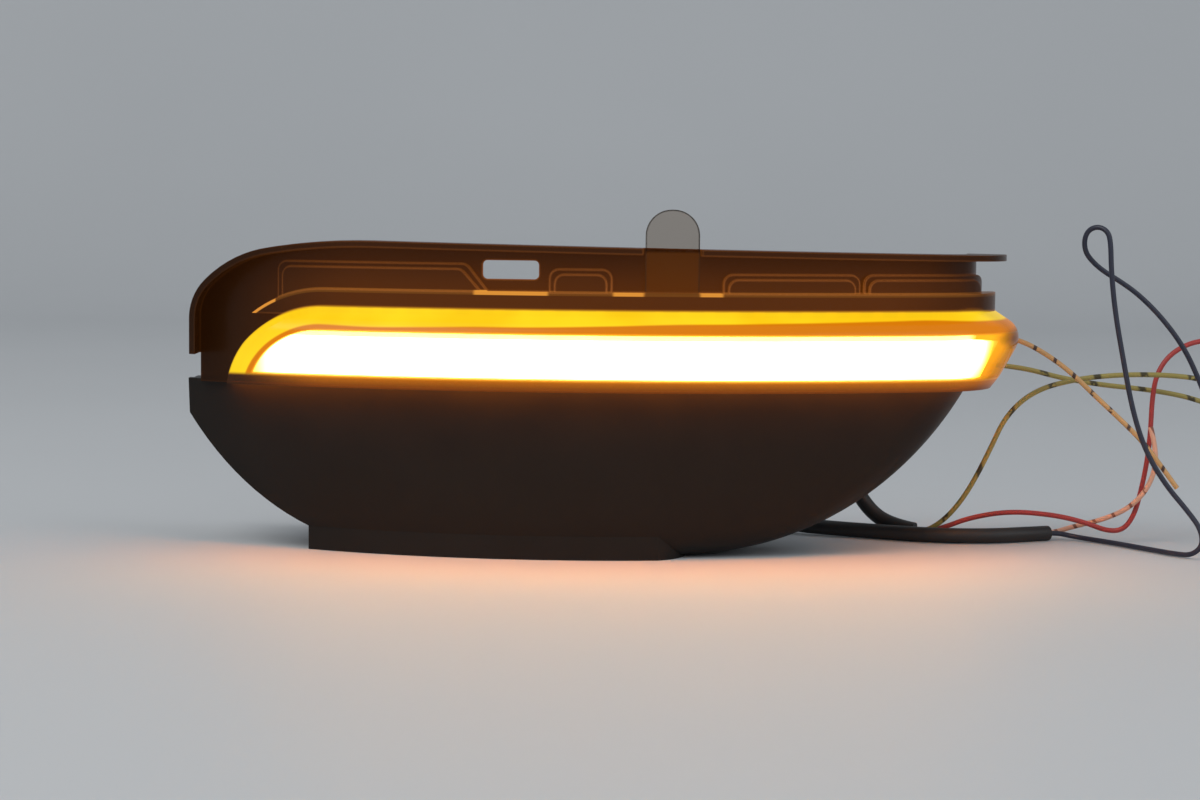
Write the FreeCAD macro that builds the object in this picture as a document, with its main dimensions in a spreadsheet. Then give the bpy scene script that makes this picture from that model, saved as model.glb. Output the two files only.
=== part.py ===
"""Mirror turn signal lamp: a smoked strip lens with its lamp inside, on a black lower cover.

Millimetres, +Z up. The origin is under the middle of the lamp, on the surface it stands on,
and the lens looks along -Y. Everything in the strip follows one plan line: a long front arc and
a short corner arc that turns the right end backwards. "Setback" is a distance inward from that line.
"""
import FreeCAD
import Part
import math
import os
import re
import Sketcher

Vector = FreeCAD.Vector

SIZES = {
    # plan line of the strip
    "front_radius": 260, "corner_radius": 34, "right_reach": 112.8, "left_reach": 111,
    "lens_front": 37.8, "strip_start": -30, "strip_end": 95, "side_angle": 90,
    # lens section
    "seat_level": 45, "lens_height": 21, "bulge_rise": 15.3, "face_foot_rise": 3.2, "face_setback": 6.6,
    "shoulder_setback": 8.8, "underside_setback": 9, "lens_depth": 17, "lens_wall": 2.2,
    "shoulder_round": 2.5, "bulge_round": 5.5, "face_foot_round": 2,
    # lens front outline
    "lens_left": 99, "lens_left_lean": 5.4, "lens_left_round": 27,
    # flange, lip and ledge above the lens
    "flange_setback": 13.4, "flange_wall": 2, "rim_left_level": 83.2, "rim_right_level": 80.4,
    "rim_bottom": 52.6, "rim_reach": 109, "rim_side_level": 68, "rim_top_inset": 12, "rim_top_level": 79.5,
    "rim_side_round": 14, "rim_top_round": 32, "rim_crown_round": 150, "lip_thick": 1.6, "lip_reach": 8,
    "lip_notch": 0.6, "tail_left": 107.1,
    "ledge_setback": 8.2, "ledge_rise": 4.5,
    # raised pads on the flange
    "pad_setback": 10.4, "pad_border": 1.3, "pad_border_setback": 11.8, "pad_round": 2.4,
    "pad_slant": 9, "left_pad_start": -85.3, "left_pad_end": -35.6, "left_pad_top": 77.4,
    "middle_pad_start": -14.2, "middle_pad_end": 1.6, "middle_pad_top": 76.3,
    "right_pad_start": 30.3, "right_pad_split": 65.8, "right_pad_end": 100.5, "right_pad_top": 75.3,
    "pad_split_gap": 1.2,
    # clip window and tongue
    "window_start": -31.4, "window_width": 14.4, "window_bottom": 73.6, "window_height": 4.8,
    "window_round": 1.2, "tongue_middle": 17, "tongue_width": 13.8, "tongue_top": 91.8,
    "tongue_thick": 1.6, "tongue_round": 6.6,
    # lamp inside
    "guide_gap": 0.6, "guide_back": 13.4, "guide_side_gap": 1, "guide_end": 57, "guide_top_drop": 2.1,
    "guide_bottom_rise": 3.4, "tray_wall": 1.2, "tray_gap": 0.2, "tray_shelf_setback": 10.6,
    "tray_end": 66, "board_thick": 1, "board_setback": 15.2, "board_margin": 1.2, "board_end": 40,
    "board_start": -21.2, "led_count": 26, "led_width": 3, "led_height": 2.8, "led_thick": 0.9,
    "first_led": -20.4, "led_end_gap": 2.5, "resistor_every": 3, "resistor_width": 2, "resistor_height": 1.25,
    "resistor_thick": 0.5, "resistor_rise": 3.4, "chip_width": 4.9, "chip_height": 3.9, "chip_thick": 1.4,
    "chip_turn": 8, "stake_radius": 0.8, "stake_fit": 0.05, "stake_span": 12.5,
    # rear housing, seal and outlets
    "seal_thick": 0.6, "seal_margin": 0.4, "housing_back": 28, "housing_wall": 2,
    "outlet_rise": 11, "main_outlet_gap": 8.9, "side_outlet_gap": 3.3, "outlet_pitch": 6.2,
    "main_neck_radius": 3.4, "main_flange_radius": 4.6, "side_pitch": 3.6, "side_neck_radius": 1.9,
    "side_flange_radius": 2.9, "grommet_flange": 1.6, "grommet_fit": 0.05, "outlet_round_share": 0.98,
    "vent_angle": -9,
    "vent_neck_radius": 2.4, "vent_cap_radius": 4.5, "vent_cap_thick": 2.2, "vent_slot_width": 1,
    "vent_slot_depth": 0.8,
    # lower cover
    "cover_setback": 15.3, "cover_wall": 2.5, "cover_round": 94, "cover_flat_half": 36,
    "cover_middle": -17.05, "cover_spread": 0.072, "cover_left_top": 116.1, "cover_axis": -4,
    "cover_rear_top": 46, "cover_back": 36, "cover_bottom": 0.6, "cover_left_rise": 0.5, "seat_left": 107.4,
    "ledge_back": 30, "ledge_thick": 2.4, "rib_thick": 1.6, "rib_height": 7, "rib_count": 4,
    "foot_height": 6.3, "foot_right": 22, "foot_front": 15, "foot_rear": 25, "foot_round": 14,
    # screws between the cover's ledge and the rear housing
    "screw_setback": 22.4, "screw_step": 14.5, "screw_radius": 1.2, "screw_length": 9.5, "screw_fit": 0.05,
    "screw_clearance": 0.4, "screw_head_radius": 2.8, "screw_head_height": 2, "screw_post_radius": 3,
    "screw_post_height": 9, "screw_recess_radius": 0.9, "screw_recess_depth": 1.1,
    # rear screw bosses of the cover
    "boss_spacing": 100, "boss_middle": -14, "boss_level": 25, "boss_radius": 4.5, "boss_bore": 1.6,
    "boss_length": 14,
    # leads, sleeves and plugs
    "lead_diameter": 1.4, "sleeve_diameter": 4.2, "lead_spread": 1.6, "lead_stub": 3,
    "sleeve_stub": 12, "side_stub": 6.3, "bend_share": 0.45,
    "plug_length": 18, "plug_width": 9, "plug_height": 6.6, "plug_latch_width": 3, "plug_latch_height": 1.4,
    "plug_start": 206, "plug_pin_pitch": 4, "plug_cavity_depth": 11, "plug_wall": 1.1, "pin_radius": 0.6,
    "front_plug_middle": 20, "rear_plug_middle": 38,
}

doc = FreeCAD.newDocument("mirror_lamp")
sheet = doc.addObject("Spreadsheet::Sheet", "Sizes")
for row, (alias, size) in enumerate(SIZES.items(), start=1):
    sheet.set(f"A{row}", str(size))
    sheet.setAlias(f"A{row}", alias)
doc.recompute()

ALIAS = re.compile(r"\b(" + "|".join(SIZES) + r")\b")

# levels and angles that follow from the sizes
LENS_TOP = "(seat_level + lens_height)"
BULGE = "(seat_level + bulge_rise)"
FACE_FOOT = "(seat_level + face_foot_rise)"
FACE_LEAN = "atan(face_setback / (bulge_rise - face_foot_rise))"
CORNER = "(asin((right_reach - corner_radius) / (front_radius - corner_radius)) / 1 deg)"
LEDGE_TOP = f"({LENS_TOP} + ledge_rise)"
HOUSING_FRONT = "(lens_depth + seal_thick)"
GUIDE_TOP = f"({BULGE} - guide_top_drop)"
GUIDE_BOTTOM = "(seat_level + guide_bottom_rise)"
BOARD_MIDDLE = f"(({GUIDE_TOP} + {GUIDE_BOTTOM}) / 2)"
TRAY_FLOOR = "(seat_level + lens_wall + tray_gap)"
OUTLET_LEVEL = "(seat_level + outlet_rise)"
STAKE_LEVEL = f"({BOARD_MIDDLE} - resistor_rise)"
LAST_LED = f"({CORNER} - led_end_gap)"
CHIP_ANGLE = f"({CORNER} + chip_turn)"
LEFT_SLOPE = "atan(lens_left_lean / lens_height)"
LEFT_TURN = f"(-lens_left + lens_left_lean + lens_left_round / tan((90 deg + {LEFT_SLOPE}) / 2))"
BEVEL_DEPTH = (f"(sqrt(front_radius^2 - {LEFT_TURN}^2)"
               f" - sqrt((front_radius - shoulder_setback)^2 - {LEFT_TURN}^2))")
BEVEL_LEAN = f"atan((lens_height - bulge_rise) / {BEVEL_DEPTH})"
SEAT_SAG = "(main_flange_radius + outlet_pitch / 2)^2 / (front_radius - housing_back)"


def formula(text):
    """The text as an expression on the sheet's cells."""
    return ALIAS.sub(r"Sizes.\1", text)


def value(text):
    """The number that a formula gives."""
    result = sheet.evalExpression(formula(text))
    return float(getattr(result, "Value", result))


def bind(item, **sizes):
    """Bind each named property of a document object to a formula."""
    for name, text in sizes.items():
        item.setExpression(name, formula(text))
    return item


FRONT_CENTRE = Vector(0, value("front_radius - lens_front"), 0)
CORNER_CENTRE = FRONT_CENTRE + Vector(
    value(f"(front_radius - corner_radius) * sin({CORNER})"),
    -value(f"(front_radius - corner_radius) * cos({CORNER})"), 0)


def inward(angle):
    """Plan direction from the plan line towards its centre, at an angle from the front."""
    return Vector(-math.sin(math.radians(angle)), math.cos(math.radians(angle)), 0)


def strip_point(angle, setback, level):
    """A point of the strip: angle along the plan line, setback from it, and level."""
    if angle <= value(CORNER):
        centre, radius = FRONT_CENTRE, value("front_radius")
    else:
        centre, radius = CORNER_CENTRE, value("corner_radius")
    return centre - inward(angle) * (radius - setback) + Vector(0, 0, level)


def strip_turn(angle):
    """Rotation that takes X along the plan line and Y inward at an angle."""
    return FreeCAD.Rotation(Vector(0, 0, 1), angle)


FRONT_PLANE = FreeCAD.Placement(Vector(), FreeCAD.Rotation(Vector(1, 0, 0), 90))
STRIP_PLANE = FreeCAD.Placement(
    strip_point(value(CORNER), 0, 0),
    FreeCAD.Rotation(Vector(0, 0, 1), 90 + value(CORNER)) * FreeCAD.Rotation(Vector(1, 0, 0), 90))


def rounded_corner(before, corner, after, radius):
    """Start, end and centre of the arc that rounds a corner, and whether it turns left."""
    to_before = (before - corner).normalize()
    to_after = (after - corner).normalize()
    half = to_before.getAngle(to_after) / 2
    middle = (to_before + to_after).normalize()
    run = radius / math.tan(half)
    left = to_before.cross(to_after).z < 0
    return (corner + to_before * run, corner + to_after * run,
            corner + middle * (radius / math.sin(half)), left)


def outline(name, corners, placement, owner=doc):
    """A closed sketch through (x, y, radius) corners, each bound to its formulas."""
    maker = owner.addObject if owner is doc else owner.newObject
    sketch = maker("Sketcher::SketchObject", name)
    sketch.Placement = placement
    points = [Vector(value(x), value(y), 0) for x, y, _ in corners]
    count = len(points)
    arcs = {}
    for i, (_, _, radius) in enumerate(corners):
        if radius:
            arcs[i] = rounded_corner(points[i - 1], points[i], points[(i + 1) % count], value(radius))
    for i in range(count):
        start = arcs[i][1] if i in arcs else points[i]
        end = arcs[(i + 1) % count][0] if (i + 1) % count in arcs else points[(i + 1) % count]
        sketch.addGeometry(Part.LineSegment(start, end), False)
    rules = []
    bound = []

    def hold(rule, text):
        bound.append((len(rules), text))
        rules.append(rule)

    for i, (x, y, radius) in enumerate(corners):
        last = (i - 1) % count
        if i in arcs:
            first, second, centre, left = arcs[i]
            begin, finish = (first, second) if left else (second, first)
            circle = Part.Circle(centre, Vector(0, 0, 1), value(radius))
            arc = sketch.addGeometry(
                Part.ArcOfCircle(circle, circle.parameter(begin), circle.parameter(finish)), False)
            near, far = (1, 2) if left else (2, 1)
            rules.append(Sketcher.Constraint("Tangent", last, 2, arc, near))
            rules.append(Sketcher.Constraint("Tangent", arc, far, i, 1))
            hold(Sketcher.Constraint("Radius", arc, value(radius)), radius)
            spot = sketch.addGeometry(Part.Point(points[i]), True)
            rules.append(Sketcher.Constraint("PointOnObject", spot, 1, last))
            rules.append(Sketcher.Constraint("PointOnObject", spot, 1, i))
        else:
            spot = i
            rules.append(Sketcher.Constraint("Coincident", last, 2, i, 1))
        hold(Sketcher.Constraint("DistanceX", -1, 1, spot, 1, points[i].x), x)
        hold(Sketcher.Constraint("DistanceY", -1, 1, spot, 1, points[i].y), y)
    sketch.addConstraint(rules)
    for number, text in bound:
        sketch.setExpression(f"Constraints[{number}]", formula(text))
    return sketch


def rectangle(left, bottom, right, top, radius=None):
    """Corners of an upright rectangle."""
    return [(left, bottom, radius), (right, bottom, radius), (right, top, radius), (left, top, radius)]


def inset(name, sketch, distance):
    """The sketch's outline moved inward by a distance."""
    ring = doc.addObject("Part::Offset2D", name)
    ring.Source = sketch
    return bind(ring, Value=f"-({distance})")


def prism(name, sketch):
    """A front outline carried through the whole depth of the lamp."""
    solid = doc.addObject("Part::Extrusion", name)
    solid.Base = sketch
    solid.DirMode = "Normal"
    solid.Solid = True
    return bind(solid, LengthFwd="2 * lens_front", LengthRev="2 * lens_front")


def front_prism(name, corners):
    """A prism straight from its front corners."""
    return prism(name, outline(f"{name}_outline", corners, FRONT_PLANE))


def boolean(kind, name, pieces):
    """A fuse or common of several objects."""
    item = doc.addObject(f"Part::Multi{kind}", name)
    item.Shapes = pieces
    return item


def fuse(name, pieces):
    return boolean("Fuse", name, pieces)


def common(name, pieces):
    return boolean("Common", name, pieces)


def cut(name, base, tools):
    """The base less all the tools."""
    item = doc.addObject("Part::Cut", name)
    item.Base = base
    item.Tool = tools[0] if len(tools) == 1 else fuse(f"{name}_tools", tools)
    return item


def turned(name, sketch, centre, angle):
    """The section turned about an upright axis."""
    solid = doc.addObject("Part::Revolution", name)
    solid.Source = sketch
    solid.Axis = Vector(0, 0, 1)
    solid.Base = centre
    solid.Solid = True
    return bind(solid, Angle=angle)


def swept(name, sketch, start="strip_start", end="strip_end"):
    """A section carried along the plan line, from one angle to another past the corner."""
    front = turned(f"{name}_front", sketch, FRONT_CENTRE, f"{start} - {CORNER}")
    corner = turned(f"{name}_corner", sketch, CORNER_CENTRE, f"{end} - {CORNER}")
    return fuse(name, [front, corner])


def band(name, near, far, bottom, top, start="strip_start", end="strip_end"):
    """A plain band of the strip between two setbacks and two levels."""
    section = outline(f"{name}_section", rectangle(near, bottom, far, top), STRIP_PLANE)
    return swept(name, section, start, end)


def box(name, length, width, height, placement):
    """A box with its three edges bound, at a placement."""
    item = doc.addObject("Part::Box", name)
    item.Placement = placement
    return bind(item, Length=length, Width=width, Height=height)


def cylinder(name, radius, height, placement):
    """A cylinder with its size bound, along the placement's Z."""
    item = doc.addObject("Part::Cylinder", name)
    item.Placement = placement
    return bind(item, Radius=radius, Height=height)


def group(name, pieces):
    """Separate like solids that share one node."""
    item = doc.addObject("Part::Compound", name)
    item.Links = pieces
    return item


def radial(angle, setback, level):
    """Placement whose Z points inward from the strip, as for an outlet in its back wall."""
    turn = strip_turn(angle) * FreeCAD.Rotation(Vector(1, 0, 0), -90)
    return FreeCAD.Placement(strip_point(angle, setback, level), turn)


def upright(angle, setback, level):
    """Placement with Z up at a place of the strip."""
    return FreeCAD.Placement(strip_point(angle, setback, level), strip_turn(angle))


def end_wall(name, wall):
    """A slab of the strip's right end, one wall thick, kept out of a cavity."""
    angle = value("strip_end")
    place = FreeCAD.Placement(strip_point(angle, 0, 0), strip_turn(angle))
    place.Base = place.Base - strip_turn(angle).multVec(Vector(value(wall), 0, 0))
    return box(name, f"2 * {wall}", "corner_radius", f"{LENS_TOP}", place)


# Front outlines that several pieces share

LENS_OUTLINE = outline("lens_outline", [
    ("-lens_left", "seat_level", None), ("2 * right_reach", "seat_level", None),
    ("2 * right_reach", LENS_TOP, None),
    ("-lens_left + lens_left_lean", LENS_TOP, "lens_left_round")], FRONT_PLANE)
LENS_BLOCK = prism("lens_block", LENS_OUTLINE)
LENS_HOLLOW = prism("lens_hollow", inset("lens_hollow_outline", LENS_OUTLINE, "lens_wall"))


def left_bevel(name, wall):
    """What the lens's left end loses to a bevel that carries the shoulder on round the end's arc."""
    behind = value(f"sqrt((front_radius - shoulder_setback)^2 - {LEFT_TURN}^2)")
    start = Vector(value(LEFT_TURN), FRONT_CENTRE.y - behind, value(f"{LENS_TOP} - lens_left_round"))
    cone = doc.addObject("Part::Cone", f"{name}_cone")
    cone.Placement = FreeCAD.Placement(start, FRONT_PLANE.Rotation)
    bind(cone, Radius1=f"lens_left_round - {wall}", Height=BEVEL_DEPTH,
         Radius2=f"lens_left_round - {wall} - lens_height + bulge_rise")
    corner = FreeCAD.Placement(start - Vector(value("2 * lens_left_round"), 0, 0), FRONT_PLANE.Rotation)
    block = box(f"{name}_block", "2 * lens_left_round", "2 * lens_left_round", BEVEL_DEPTH, corner)
    return cut(name, block, [cone])


def lens_body():
    """Hollow lens: bulged shoulder, leaning face and rounded foot, open at the back."""
    section = outline("lens_section", [
        ("lens_depth", "seat_level", None), ("lens_depth", LENS_TOP, None),
        ("shoulder_setback", LENS_TOP, "shoulder_round"), ("0", BULGE, "bulge_round"),
        ("face_setback", FACE_FOOT, "face_foot_round"),
        ("underside_setback", "seat_level", None)], STRIP_PLANE)
    block = cut("lens_solid", common("lens_bar", [swept("lens_sweep", section), LENS_BLOCK]),
                [left_bevel("lens_bevel", "0")])
    inner = swept("lens_inner", inset("lens_inner_section", section, "lens_wall"))
    mouth = band("lens_mouth", "flange_setback", "lens_depth + lens_wall",
                 "seat_level + lens_wall", f"{LENS_TOP} - lens_wall")
    cavity = common("lens_cavity", [fuse("lens_inner_space", [inner, mouth]), LENS_HOLLOW])
    bevel = left_bevel("cavity_bevel", f"lens_wall / cos({BEVEL_LEAN})")
    return cut("lens_shell", block, [cut("lens_room", cavity, [end_wall("lens_end", "lens_wall"), bevel])])


def flange():
    """Flange wall with its outward lip and the ledge that the pads stand on."""
    rim = front_prism("rim_block", [
        ("-rim_reach", "rim_bottom", None), ("right_reach", "rim_bottom", None),
        ("right_reach", "rim_right_level", None),
        ("-lens_left + lens_left_round", "rim_left_level", "rim_crown_round"),
        ("-rim_reach + rim_top_inset", "rim_top_level", "rim_top_round"),
        ("-rim_reach", "rim_side_level", "rim_side_round")])
    inner_rim = prism("rim_hollow", inset("rim_hollow_outline", rim.Base, "lip_thick"))
    skirt = front_prism("rim_skirt", rectangle(
        "-rim_reach + lip_thick", "rim_bottom - lip_thick", "2 * right_reach", "rim_bottom + 2 * lip_thick"))
    right = front_prism("rim_right", rectangle(
        "right_pad_split", "rim_bottom", "2 * right_reach", "rim_right_level - lip_thick"))
    back = "flange_setback + flange_wall"
    wall = cut("flange_plate", common("flange_block", [
        band("flange_band", "flange_setback", back, "rim_bottom", "tongue_top"), rim]), [LENS_HOLLOW])
    notch_half = "(tongue_width / 2 + lip_notch)"
    notch = front_prism("lip_notch_block", rectangle(
        f"tongue_middle - {notch_half}", "rim_bottom", f"tongue_middle + {notch_half}", "tongue_top"))
    lip = cut("lip", common("lip_block", [
        band("lip_band", "flange_setback - lip_reach", back, "rim_bottom", "tongue_top"), rim]),
        [inner_rim, skirt, right, notch])
    tail = cut("tail", common("tail_block", [
        band("tail_band", "flange_setback", back, "seat_level", "rim_bottom + lip_thick"),
        front_prism("tail_side", rectangle(
            "-tail_left", "seat_level", "-lens_left + lens_wall", "rim_bottom + lip_thick"))]), [LENS_HOLLOW])
    ledge_left = "-lens_left - ledge_rise"
    ledge = common("ledge", [
        band("ledge_band", "ledge_setback", "flange_setback", f"{LENS_TOP} - lens_wall", LEDGE_TOP),
        front_prism("ledge_block", [
            (ledge_left, "seat_level", None), ("2 * right_reach", "seat_level", None),
            ("2 * right_reach", LEDGE_TOP, None),
            (f"{ledge_left} + lens_left_lean * (1 + ledge_rise / lens_height)", LEDGE_TOP,
             "lens_left_round + ledge_rise")]), rim])
    return [wall, lip, tail, ledge]


def pad(name, start, finish, top, slant="0"):
    """A raised pad with a stepped border, standing on the ledge."""
    def plate(part, margin, setback):
        corners = [
            (f"{start} + {margin}", f"{LEDGE_TOP} - ledge_rise", None),
            (f"{finish} + {slant} - {margin}", f"{LEDGE_TOP} - ledge_rise", None),
            (f"{finish} - {margin}", f"{top} - {margin}", "pad_round"),
            (f"{start} + {margin}", f"{top} - {margin}", "pad_round")]
        return common(f"{name}_{part}", [
            band(f"{name}_{part}_band", setback, "flange_setback", f"{LENS_TOP} - lens_wall", "tongue_top"),
            front_prism(f"{name}_{part}_block", corners)])
    return [plate("border", "0", "pad_border_setback"), plate("face", "pad_border", "pad_setback")]


def outer_lens():
    """Lens, flange, pads, window and tongue as the one moulding they are."""
    pads = pad("left_pad", "left_pad_start", "left_pad_end", "left_pad_top", "pad_slant")
    pads += pad("middle_pad", "middle_pad_start", "middle_pad_end", "middle_pad_top")
    pads += pad("right_pad", "right_pad_start", "right_pad_split", "right_pad_top")
    pads += pad("end_pad", "right_pad_split + pad_split_gap", "right_pad_end", "right_pad_top")
    half = "tongue_width / 2"
    tongue = common("tongue", [
        band("tongue_band", "ledge_setback", "ledge_setback + tongue_thick",
             f"{LENS_TOP} - lens_wall", "tongue_top + tongue_thick"),
        front_prism("tongue_block", [
            (f"tongue_middle - {half}", LENS_TOP, None), (f"tongue_middle + {half}", LENS_TOP, None),
            (f"tongue_middle + {half}", "tongue_top", "tongue_round"),
            (f"tongue_middle - {half}", "tongue_top", "tongue_round")])])
    window = front_prism("window", rectangle(
        "window_start", "window_bottom", "window_start + window_width",
        "window_bottom + window_height", "window_round"))
    moulding = fuse("lens_moulding", [lens_body()] + flange() + pads + [tongue])
    return cut("outer_lens", moulding, [window])


def light_guide():
    """Bar of clear diffuser behind the lens face, leaning as the face leans."""
    def front(level):
        return (f"face_setback * ({BULGE} - {level}) / (bulge_rise - face_foot_rise)"
                f" + (lens_wall + guide_gap) / cos({FACE_LEAN})")
    section = outline("guide_section", [
        ("guide_back", GUIDE_BOTTOM, None), ("guide_back", GUIDE_TOP, None),
        (front(GUIDE_TOP), GUIDE_TOP, None), (front(GUIDE_BOTTOM), GUIDE_BOTTOM, None)], STRIP_PLANE)
    side = prism("guide_side", inset("guide_outline", LENS_OUTLINE, "lens_wall + guide_side_gap"))
    return common("light_guide", [swept("guide_sweep", section, end="guide_end"), side])


def reflector_tray():
    """White tray: floor shelf under the guide, back wall behind the board, rib over the guide, stakes."""
    back = "board_setback + board_thick"
    roof = f"{LENS_TOP} - lens_wall - tray_gap"
    section = outline("tray_section", [
        ("tray_shelf_setback", TRAY_FLOOR, None), (f"{back} + tray_wall", TRAY_FLOOR, None),
        (f"{back} + tray_wall", roof, None), (back, roof, None), (back, f"{GUIDE_TOP} + tray_wall", None),
        ("guide_back - tray_wall", f"{GUIDE_TOP} + tray_wall", None),
        ("guide_back - tray_wall", GUIDE_TOP, None), (back, GUIDE_TOP, None),
        (back, GUIDE_BOTTOM, None), ("tray_shelf_setback", GUIDE_BOTTOM, None)], STRIP_PLANE)
    side = prism("tray_side", inset("tray_outline", LENS_OUTLINE, "lens_wall + tray_gap"))
    tray = common("tray_channel", [swept("tray_sweep", section, end="tray_end"), side])
    stakes = [cylinder(f"stake_{i}", "stake_radius", "board_thick + tray_wall",
                       radial(angle, value("board_setback - tray_wall / 2"), value(STAKE_LEVEL)))
              for i, angle in enumerate(stake_angles())]
    return fuse("tray", [tray] + stakes)


def stake_angles():
    """Angles of the stakes that hold the board on the tray."""
    return [-value("stake_span"), 0, value("stake_span")]


def led_board():
    """Thin circuit strip that lies on the tray's back wall, with a hole for each stake."""
    strip = common("board_strip", [
        band("board_band", "board_setback", "board_setback + board_thick",
             f"{GUIDE_BOTTOM} + board_margin", f"{GUIDE_TOP} - board_margin", "board_start", "board_end"),
        prism("board_side", inset("board_outline", LENS_OUTLINE, "lens_wall + guide_side_gap"))])
    holes = [cylinder(f"board_hole_{i}", "stake_radius + stake_fit", "3 * board_thick",
                      radial(angle, value("board_setback - board_thick"), value(STAKE_LEVEL)))
             for i, angle in enumerate(stake_angles())]
    return cut("board", strip, holes)


def on_board(name, angle, level, width, height, thick):
    """A package that stands on the board's front, centred on an angle and a level."""
    place = upright(angle, value(f"board_setback - {thick}"), value(f"{level} - {height} / 2"))
    place.Base = place.Base - strip_turn(angle).multVec(Vector(value(width) / 2, 0, 0))
    return box(name, width, thick, height, place)


def led_angles():
    """Even angles of the LEDs along the front arc."""
    count = round(value("led_count"))
    step = value(f"{LAST_LED} - first_led") / (count - 1)
    return [value("first_led") + step * i for i in range(count)]


def leds():
    return group("led_packages", [
        on_board(f"led_{i}", angle, BOARD_MIDDLE, "led_width", "led_height", "led_thick")
        for i, angle in enumerate(led_angles())])


def resistors():
    """One resistor above every few LEDs."""
    every = round(value("resistor_every"))
    return group("resistor_chips", [
        on_board(f"resistor_{i}", angle, f"{BOARD_MIDDLE} + resistor_rise",
                 "resistor_width", "resistor_height", "resistor_thick")
        for i, angle in enumerate(led_angles()[every::every])])


def driver_chip():
    return on_board("chip", value(CHIP_ANGLE), BOARD_MIDDLE, "chip_width", "chip_height", "chip_thick")


def screw_angles():
    """Angles of the screws along the front arc."""
    return [-value("screw_step"), 0, value("screw_step")]


def outlet_hole(name, angle, half_pitch, radius):
    """An oval hole or neck in the housing's back wall: two rounds joined by a block."""
    reach = f"({half_pitch} + {radius})"
    return outline(name, rectangle(
        f"-{reach}", f"-({radius})", reach, radius, f"({radius}) * outlet_round_share"),
        radial(angle, 0, value(OUTLET_LEVEL)))


def inward_pad(name, sketch, start, finish):
    """A sketch on a radial plane carried inward from one setback to another."""
    solid = doc.addObject("Part::Extrusion", name)
    solid.Base = sketch
    solid.DirMode = "Normal"
    solid.Solid = True
    return bind(solid, LengthFwd=finish, LengthRev=f"-({start})")


def rear_housing():
    """Tray that closes the lens from behind, with screw posts and holes for the outlets and the vent."""
    block = common("housing_block", [
        band("housing_band", HOUSING_FRONT, "housing_back", "seat_level", LENS_TOP), LENS_BLOCK])
    room = cut("housing_room", common("housing_space", [
        band("housing_inner", "lens_depth", "housing_back - housing_wall",
             "seat_level + housing_wall", f"{LENS_TOP} - housing_wall"),
        prism("housing_side", inset("housing_outline", LENS_OUTLINE, "housing_wall"))]),
        [end_wall("housing_end", "housing_wall")])
    posts = [cylinder(f"post_{i}", "screw_post_radius", "screw_post_height",
                      upright(angle, value("screw_setback"), value("seat_level")))
             for i, angle in enumerate(screw_angles())]
    pilots = [cylinder(f"pilot_{i}", "screw_radius + screw_fit", "screw_length",
                       upright(angle, value("screw_setback"), value("seat_level - ledge_thick")))
              for i, angle in enumerate(screw_angles())]
    holes = []
    for name, angle, half, neck, _ in outlets():
        oval = outlet_hole(f"{name}_hole_outline", angle, half, f"{neck} + grommet_fit")
        holes.append(inward_pad(
            f"{name}_hole", oval, "housing_back - 2 * housing_wall", "housing_back + housing_wall"))
    vent = cylinder("vent_hole", "vent_neck_radius + grommet_fit", "3 * housing_wall", radial(
        value("vent_angle"), value("housing_back - 2 * housing_wall"), value(OUTLET_LEVEL)))
    tray = cut("housing_tray", block, [room])
    return cut("housing", fuse("housing_posts", [tray] + posts), pilots + holes + [vent])


def outlets():
    """Name, angle, half pitch, neck radius and flange radius of the two lead outlets."""
    main_angle = value(f"{CORNER} - main_outlet_gap")
    side_angle = value(f"{CORNER} - side_outlet_gap")
    return [
        ("main_outlet", main_angle, "outlet_pitch / 2", "main_neck_radius", "main_flange_radius"),
        ("side_outlet", side_angle, "side_pitch / 2", "side_neck_radius", "side_flange_radius")]


def grommet(outlet):
    """Rubber outlet: an oval neck through the wall and a flange on the wall's back."""
    name, angle, half, neck, flange_radius = outlet
    seat = f"housing_back + {SEAT_SAG}"
    neck_pad = inward_pad(f"{name}_neck", outlet_hole(f"{name}_neck_outline", angle, half, neck),
                          "housing_back - housing_wall - grommet_flange", seat)
    flange_oval = outlet_hole(f"{name}_flange_outline", angle, half, flange_radius)
    flange_pad = inward_pad(f"{name}_flange", flange_oval, seat, f"{seat} + grommet_flange")
    return fuse(f"{name}_grommet", [neck_pad, flange_pad])


VENT_SLOT_TURNS = (45, 135)


def vent_plug():
    """Breather: a neck in the wall and a slotted cap on its back."""
    angle = value("vent_angle")
    neck = cylinder("vent_neck", "vent_neck_radius", f"2 * housing_wall + {SEAT_SAG}",
                    radial(angle, value("housing_back - 2 * housing_wall"), value(OUTLET_LEVEL)))
    face = value(f"housing_back + {SEAT_SAG}")
    cap = cylinder("vent_cap", "vent_cap_radius", "vent_cap_thick", radial(angle, face, value(OUTLET_LEVEL)))
    slots = []
    for i, turn in enumerate(VENT_SLOT_TURNS):
        place = radial(angle, value(f"housing_back + {SEAT_SAG} + vent_cap_thick - vent_slot_depth"),
                       value(OUTLET_LEVEL))
        place.Rotation = place.Rotation * FreeCAD.Rotation(Vector(0, 0, 1), turn)
        place.Base = place.Base - place.Rotation.multVec(
            Vector(value("vent_cap_radius"), value("vent_slot_width") / 2, 0))
        slots.append(box(f"vent_slot_{i}", "2 * vent_cap_radius", "vent_slot_width", "vent_cap_thick", place))
    return cut("vent", fuse("vent_body", [neck, cap]), slots)


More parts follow.
